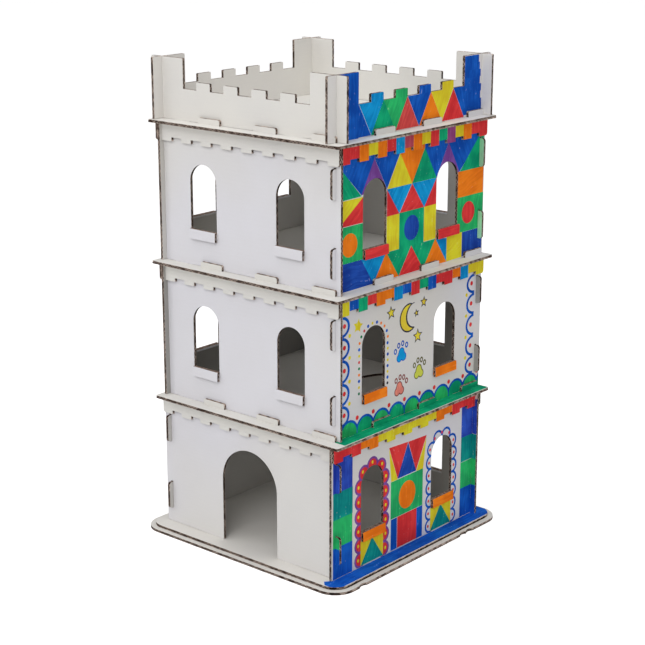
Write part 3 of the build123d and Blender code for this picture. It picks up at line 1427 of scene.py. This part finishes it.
@dataclass
class LowerWallDrawing:
    """Block columns, framed windows and a banner on the lowest storey's right-hand wall."""

    drawing: Drawing
    window: float = 99.5
    half: float = 31.0
    spring: float = 148.0
    first_bump: float = 14.0
    column: tuple[float, ...] = (226.0, 157.0, 109.0, 57.0, 1.0)
    outline: float = 4.4

    def columns(self) -> None:
        """Column of four blocks at each end."""
        shades = (Marker.VIOLET_BLUE, Marker.TEAL, Marker.LEAF, Marker.BLUE)
        for high, low, marker in zip(self.column, self.column[1:], shades):
            self.drawing.block(-204, -153, low, high, marker)
            self.drawing.block(159, 193, low, high, marker)

    def bumps(self, pitch: float, out: float) -> list[Point]:
        """Middles of the bumps round a window, from its lower left corner, relative to its axis.

        Args:
            pitch: Spacing of the bumps.
            out: How far outside the window's edge they lie.

        Returns:
            The middles.
        """
        radius, foot = self.half + out, self.first_bump
        rising = [(-radius, foot + pitch * i) for i in range(int((self.spring - foot) / pitch) + 1)]
        start = math.degrees(math.asin(min(1.0, (rising[-1][1] + pitch - self.spring) / radius)))
        count = max(2, round(math.radians(180 - 2 * start) * radius / pitch))
        ways = [math.radians(start + (180 - 2 * start) * i / count) for i in range(count + 1)]
        over = [(-radius * math.cos(way), self.spring + radius * math.sin(way)) for way in ways]
        return rising + over + [(-x, y) for x, y in rising[::-1]]

    def frame_round(self, axis: float, fill: Marker, line: Marker, dot: Marker, pitch: float,
                    size: float) -> None:
        """Scalloped frame round a window.

        Args:
            axis: Middle of the window.
            fill: Colour of the bumps.
            line: Colour of their outline.
            dot: Colour of the dot in each.
            pitch: Spacing of the bumps.
            size: Radius of a bump.
        """
        draw = self.drawing
        for radius, marker in ((size, line), (size - self.outline, fill)):
            for x, y in self.bumps(pitch, 1.5):
                draw.disc((axis + x, y), radius, marker, 16)
        for x, y in self.bumps(pitch, 6.5):
            draw.disc((axis + x, y), 3.2, dot, 10, 0.8)

    def banner(self) -> None:
        """Fields between the windows."""
        draw, m = self.drawing, Marker
        for marker, angle, *corners in ((m.YELLOW, 90, (-54, 196), (-47, 133), (-29, 133)),
                                        (m.YELLOW, 90, (54, 192), (45, 132), (24, 133)),
                                        (m.RED, 110, (-54, 198), (0, 195), (-29, 134)),
                                        (m.RED, 60, (0, 195), (54, 193), (24, 134)),
                                        (m.DEEP_BLUE, 70, (-29, 134), (24, 134), (0, 193))):
            draw.fill(corners, marker, angle)
        draw.block(-48, 44, 61.5, 132, m.LEAF)
        draw.disc((-1, 96), 26, m.ORANGE, 24, 0.92)
        for left, right, marker in ((-47, -29, m.BLUE), (-29, 27, m.RED), (27, 44, m.BLUE)):
            draw.block(left, right, 2, 61, marker)

    def draw(self) -> None:
        """Draw it all."""
        draw, m = self.drawing, Marker
        self.columns()
        self.frame_round(-self.window, m.RED, m.PURPLE, m.YELLOW, 27.0, 15.5)
        self.frame_round(self.window, m.BARE, m.BLUE, m.RED, 24.5, 14.5)
        self.banner()
        for axis in (-self.window, self.window):
            draw.block(axis - self.half, axis + self.half, 2, 49, m.YELLOW, gap=0.0)
            draw.fill([(axis - self.half, 2), (axis + self.half, 2), (axis, 47)], m.TEAL, 80)


@dataclass
class ParapetDrawing:
    """Triangles under the merlons of the right-hand battlement, and its blue corner towers."""

    drawing: Drawing
    height: float = 54.5
    edge: float = 143.0
    merlons: int = 4
    ragged: tuple[float, ...] = (195.0, 194.0, 190.0, 192.0, 188.0, 190.0, 187.0, 184.0)
    ragged_step: float = 12.6

    def draw(self) -> None:
        """Draw it all, the far tower's colour ending in a ragged line."""
        draw, m = self.drawing, Marker
        edge, height = self.edge, self.height
        pitch = 2 * edge / (2 * self.merlons + 1)
        tops = [-edge + 2 * pitch * index for index in range(self.merlons + 1)]
        feet = [top + pitch for top in tops]
        for index, marker in enumerate((m.SKY, m.LEAF, m.BLUE, m.YELLOW)):
            start, end = tops[index:index + 2]
            draw.block(start + pitch, end, height - 1, 70, marker, 85, 0.0)
            draw.fill([(start, height), (end, height), (feet[index], 1)], marker, 65, 0.3)
        for index, marker in enumerate((m.GREEN, m.CORAL, m.ORANGE, m.RED)):
            draw.fill([(feet[index], 1), (feet[index + 1], 1), (tops[index + 1], height)], marker, 60)
        draw.block(-193, -edge, 0, 107, m.BLUE, gap=0.0)
        draw.fill([(-edge, 1), (feet[0], 1), (-edge, height)], m.BLUE, 70, 0.0)
        draw.fill([(tops[-1], height), (edge, height), (edge, 1)], m.BLUE, 110, 0.0)
        for index, end in enumerate(self.ragged):
            low, high = (4 + step * self.ragged_step for step in (index, index + 1))
            draw.block(edge - 0.5, end, low, high + 0.3, m.BLUE, gap=0.0)


@dataclass
class FriezeDrawing:
    """Row of coloured blocks on a right-hand frieze, and the tab heads where they have a colour."""

    drawing: Drawing
    left: float
    right: float
    blocks: Sequence[tuple[Marker, int]]
    heads: Optional[Marker] = None
    low: float = 205.0
    high: float = 247.0
    head_top: float = 262.0
    head_margin: float = 20.0

    def draw(self) -> None:
        """Draw it all."""
        pitch = (self.right - self.left) / sum(count for _, count in self.blocks)
        start = self.left
        for marker, count in self.blocks:
            end = start + count * pitch
            self.drawing.block(start, end, self.low, self.high, marker)
            start = end
        if self.heads:
            self.drawing.block(self.left - self.head_margin, self.right + self.head_margin, self.high,
                               self.head_top, self.heads, 0.0, 0.0)


# The house


@dataclass
class House:
    """All the sheets of the house."""

    board: Board = field(default_factory=Board)
    finishes: Finishes = field(default_factory=Finishes)
    base: float = 10.0 * MM
    storey: float = 250.0 * MM
    window: float = 99.5 * MM
    outside: float = 198.5 * MM
    sill_cover: float = 0.85
    pieces: dict[str, bpy.types.Object] = field(default_factory=dict)

    def foot(self, number: int) -> float:
        """Height of a storey's foot, the lowest storey being number 1."""
        return self.base + self.storey * (number - 1)

    def home(self, side: Side, foot: float) -> Matrix:
        """Takes an upright node from its side and height to the front, foot at zero."""
        return side.turn.inverted() @ Matrix.Translation((0, 0, -foot))

    def set_up(self, master: bpy.types.Object, node: str, side: Side, foot: float) -> None:
        """Put a copy of an upright sheet where its node is.

        Args:
            master: Sheet made at the front.
            node: Node it stands for.
            side: Side of the house.
            foot: Height of its foot.
        """
        piece = copy_of(master, node + "_board")
        piece.data.transform(Matrix.Translation((0, 0, foot)) @ side.turn)
        self.keep(piece, node)

    def paper_inside(self, node: str, paper: bpy.types.Material) -> None:
        """Give a wall the paper of its storey on the inside, painted darker as that storey's shade."""
        papers = self.pieces[node].data.materials
        papers[papers.find(self.finishes.insides[0].name)] = paper

    def keep(self, piece: bpy.types.Object, node: str) -> None:
        """Note a finished piece and let it stand for its node.

        Args:
            piece: The piece.
            node: Its node.
        """
        self.pieces[node] = piece
        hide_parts(node)
        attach(piece, BODY)
        LOG.info("set up %s", piece.name)

    def storeys(self) -> None:
        """Walls and friezes of the three storeys, the upper two of which are alike."""
        sill = SillFold(self.board).build()
        walls = Sheet(self.board, self.finishes, sill=sill)
        strips = Sheet(self.board, self.finishes, cream=True)
        places = (-self.window, self.window)
        spares = [sill]
        # paper is each storey's inside paper, painted darker as the shade in its rooms
        for number, paper in enumerate(self.finishes.insides, 1):
            foot = self.foot(number)
            if number < 3:
                wall = walls.build("wall", f"wall_{number}_right", self.home(Side.RIGHT, foot), places)
                strip = strips.build("strip", f"frieze_{number}_front", self.home(Side.FRONT, foot))
                spares += [wall, strip]
            front = wall
            if number == 1:
                front = walls.build("door_wall", "wall_1_front", self.home(Side.FRONT, foot))
                spares.append(front)
            for side in Side:
                node = f"wall_{number}_{side.word}"
                self.set_up(front if side is Side.FRONT else wall, node, side, foot)
                self.paper_inside(node, paper)
                self.set_up(strip, f"frieze_{number}_{side.word}", side, foot)
        for spare in spares:
            bpy.data.objects.remove(spare)

    def battlements(self) -> None:
        """Four parapets round the terrace, of two kinds that lap over each other at the corners."""
        sheets = Sheet(self.board, self.finishes, cream=True)
        foot = self.foot(4)
        laps = [sheets.build("low_lap", "parapet_front", self.home(Side.FRONT, foot)),
                sheets.build("high_lap", "parapet_right", self.home(Side.RIGHT, foot))]
        for side in Side:
            self.set_up(laps[side.value % 2], f"parapet_{side.word}", side, foot)
        for spare in laps:
            bpy.data.objects.remove(spare)

    def levels(self) -> None:
        """Base sheets and floors."""
        sheets = Sheet(self.board, self.finishes, Lie.LEVEL)
        for node in ("base_lower_sheet", "base_upper_sheet", "deck_lower", "deck_middle", "deck_top"):
            self.keep(sheets.build(node + "_board", node, Matrix.Identity(4)), node)

    def on_right(self, node: str, number: int, seed: int) -> Drawing:
        """Open the outside of a right-hand sheet for drawing, from the foot of its storey."""
        return Drawing(self.pieces[node], Look.RIGHT, Zone.OUTER, self.foot(number), seed)

    def colour_sills(self, node: str, marker: Marker) -> None:
        """Colour a right-hand wall's sills all over.

        Args:
            node: Wall's node.
            marker: Colour of the sills.
        """
        mesh = self.pieces[node].data
        slot = mesh.materials.find(self.finishes.drawn_wall.name)
        ink, stroke, cover = (mesh.attributes[name].data for name in (Layer.INK, Layer.STROKE, Layer.COVER))
        zones = mesh.attributes[Layer.ZONE].data
        for face in mesh.polygons:
            if zones[face.index].value == Zone.SILL.value and face.center.x > self.outside:
                face.material_index = slot
                for loop in face.loop_indices:
                    ink[loop].color = (*marker.value, 1.0)
                    stroke[loop].vector = (0, 1, 0)
                    cover[loop].value = self.sill_cover

    def colour_walls(self) -> None:
        """Drawings on the three right-hand walls and on the battlement above them."""
        for number, plan, edges, sills in ((3, UpperWallDrawing, (-193.5, 209), Marker.RED),
                                           (2, MiddleWallDrawing, (-193.5, 209), Marker.ORANGE),
                                           (1, LowerWallDrawing, (-209, 193.5), Marker.ORANGE)):
            node = f"wall_{number}_right"
            wall = self.on_right(node, number, seed=number)
            wall.crop(*edges)
            plan(wall).draw()
            wall.close(self.finishes.drawn_wall)
            self.colour_sills(node, sills)
        parapet = self.on_right("parapet_right", 4, seed=4)
        ParapetDrawing(parapet).draw()
        parapet.close(self.finishes.drawn_wall)

    def colour_friezes(self) -> None:
        """Blocks on the three right-hand friezes."""
        m = Marker
        rows = {3: ((m.RED, 2), (m.ORANGE, 1), (m.YELLOW, 1), (m.ORANGE, 1), (m.RED, 1), (m.SKY, 1),
                    (m.PLUM, 1), (m.ORANGE, 1), (m.YELLOW, 1), (m.RED, 1), (m.GREEN, 1), (m.MAUVE, 1),
                    (m.YELLOW, 1), (m.ORANGE, 1), (m.RED, 2)),
                2: ((m.YELLOW, 1), (m.BLUE, 1), (m.GREEN, 1), (m.RED, 1), (m.ORANGE, 2), (m.SKY, 1),
                    (m.BLUE, 1), (m.RED, 1), (m.GREEN, 1), (m.BLUE, 1), (m.RED, 2), (m.ORANGE, 1),
                    (m.SKY, 1), (m.YELLOW, 2)),
                1: ((m.RED, 3), (m.ORANGE, 2), (m.YELLOW, 7), (m.ORANGE, 2), (m.RED, 3))}
        for number, blocks in rows.items():
            left, right, heads = (-208, 193, m.GREEN) if number == 1 else (-193, 208, None)
            drawing = self.on_right(f"frieze_{number}_right", number, seed=10 + number)
            FriezeDrawing(drawing, left, right, blocks, heads).draw()
            drawing.close(self.finishes.drawn_wall)

    def colour_levels(self) -> None:
        """Green strip along the lowest floor, and a blue one along the base with its two corners."""
        deck = Drawing(self.pieces["deck_lower"], Look.UP, Zone.OUTER, 0.0, 21)
        deck.block(198, 222.5, -203, 205, Marker.GREEN, gap=0.0)
        deck.close(self.finishes.drawn_floor)
        base = Drawing(self.pieces["base_upper_sheet"], Look.UP, Zone.OUTER, 0.0, 22)
        for corners in (((198, -203), (226, -203), (226, 203), (198, 203)),
                        ((198, -203), (226, -203), (226, -212), (212, -226), (198, -226), (188, -216)),
                        ((186, 203), (226, 203), (226, 212), (212, 226), (186, 226))):
            base.fill(corners, Marker.BLUE, gap=0.0)
        base.close(self.finishes.drawn_floor)

    def colour_ends(self) -> None:
        """Carry the colours on over what the front and back walls push out past the right-hand one."""
        m = Marker
        column = ((226, 157, m.VIOLET_BLUE), (157, 109, m.TEAL), (109, 57, m.LEAF), (57, 0, m.BLUE))
        pale = ((212, 150, m.PALE_GREEN), (80, 20, m.PALE_GREEN))
        for number, side, zone, blocks in ((1, Side.BACK, Zone.INNER, column),
                                           (1, Side.FRONT, Zone.OUTER, column),
                                           (3, Side.BACK, Zone.INNER, pale)):
            end = Drawing(self.pieces[f"wall_{number}_{side.word}"], Look.FRONT, zone, self.foot(number), 23)
            end.crop(197, 210)
            for high, low, marker in blocks:
                end.block(196, 209, low, high, marker, gap=0.1)
            end.close(self.finishes.drawn_wall)

    def build(self) -> None:
        """Build and dress the whole house."""
        self.storeys()
        self.battlements()
        self.levels()
        self.colour_walls()
        self.colour_friezes()
        self.colour_levels()
        self.colour_ends()


# The studio


@dataclass
class Studio:
    """Pale floor, soft lamps and the camera."""

    eye: Place = (1.8324, -2.1313, 1.1903)
    turn: float = 40.703
    dip: float = 15.974
    lens: float = 90.45
    sensor: float = 36.0
    sight: float = 60.0
    floor_size: float = 60.0
    floor_drop: float = 0.4 * MM
    floor_tones: tuple[float, float] = (0.80, 0.83)
    floor_mottle: float = 3.0
    floor_glow: float = 0.62
    sky_light: float = 0.46
    sky_seen: float = 1.0
    aim: Place = (0.0, 0.0, 0.42)
    lamp_size: float = 2.4
    lamps: tuple[tuple[str, Place, float], ...] = (
        ("key", (1.2, -3.4, 3.2), 55.0), ("side", (3.6, 0.2, 2.2), 11.0),
        ("left", (-2.6, -2.6, 2.2), 24.0), ("top", (0.2, -0.5, 4.1), 34.0))

    def camera(self) -> None:
        """Camera at the photograph's viewing angle."""
        data = bpy.data.cameras.new("camera")
        data.lens = self.lens
        data.sensor_width = self.sensor
        data.clip_end = self.sight
        camera = bpy.data.objects.new("camera", data)
        camera.location = self.eye
        camera.rotation_euler = Euler((math.radians(90 - self.dip), 0, math.radians(self.turn)))
        bpy.context.scene.collection.objects.link(camera)
        bpy.context.scene.camera = camera

    def floor(self) -> None:
        """Wide pale floor that keeps the house's shadow."""
        bpy.ops.object.select_all(action="DESELECT")
        bpy.ops.mesh.primitive_plane_add(size=self.floor_size, location=(0, 0, -self.floor_drop))
        floor = bpy.context.object
        floor.name = "floor"
        graph = Graph("pale_floor")
        path = graph.node("ShaderNodeLightPath")
        straight, through = (graph.wire(path, f"Is {kind} Ray") for kind in ("Camera", "Transmission"))
        seen = graph.maths("MAXIMUM", straight, through)
        darker, paler = ((tone,) * 3 for tone in self.floor_tones)
        colour = graph.mix(graph.noise(graph.place(), self.floor_mottle, detail=2.0), darker, paler)
        glow = graph.mix(seen, (0.0, 0.0, 0.0), (self.floor_glow,) * 3)
        floor.data.materials.append(graph.finish(Base_Color=colour, Roughness=0.9, Emission_Color=glow,
                                                 Emission_Strength=1.0))

    def lamp(self, name: str, place: Place, power: float) -> None:
        """Square soft lamp turned to the middle of the house.

        Args:
            name: Name of the lamp.
            place: Where it hangs.
            power: Its power in watts.
        """
        data = bpy.data.lights.new(name, "AREA")
        data.size = self.lamp_size
        data.energy = power
        lamp = bpy.data.objects.new(name, data)
        lamp.location = place
        lamp.rotation_euler = (Vector(self.aim) - Vector(place)).to_track_quat("-Z", "Y").to_euler()
        bpy.context.scene.collection.objects.link(lamp)

    def world(self) -> None:
        """White surroundings, weaker as light than as seen."""
        world = bpy.data.worlds.new("studio")
        bpy.context.scene.world = world
        world.use_nodes = True
        tree = world.node_tree
        back = next(n for n in tree.nodes if n.type == "BACKGROUND")
        path = tree.nodes.new("ShaderNodeLightPath")
        level = tree.nodes.new("ShaderNodeMix")
        level.inputs[2].default_value = self.sky_light
        level.inputs[3].default_value = self.sky_seen
        tree.links.new(path.outputs["Is Camera Ray"], level.inputs[0])
        tree.links.new(level.outputs[0], back.inputs["Strength"])
        back.inputs["Color"].default_value = (1.0, 1.0, 1.0, 1.0)

    def build(self) -> None:
        """Set up the studio."""
        self.camera()
        self.floor()
        self.world()
        for lamp in self.lamps:
            self.lamp(*lamp)
        bpy.context.scene.view_settings.view_transform = "Standard"


def main() -> None:
    """Build the house and the studio."""
    logging.basicConfig(level=logging.INFO, format="%(message)s")
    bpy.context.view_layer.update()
    House().build()
    Studio().build()
    LOG.info("sizes written")


if __name__ == "__main__":
    main()
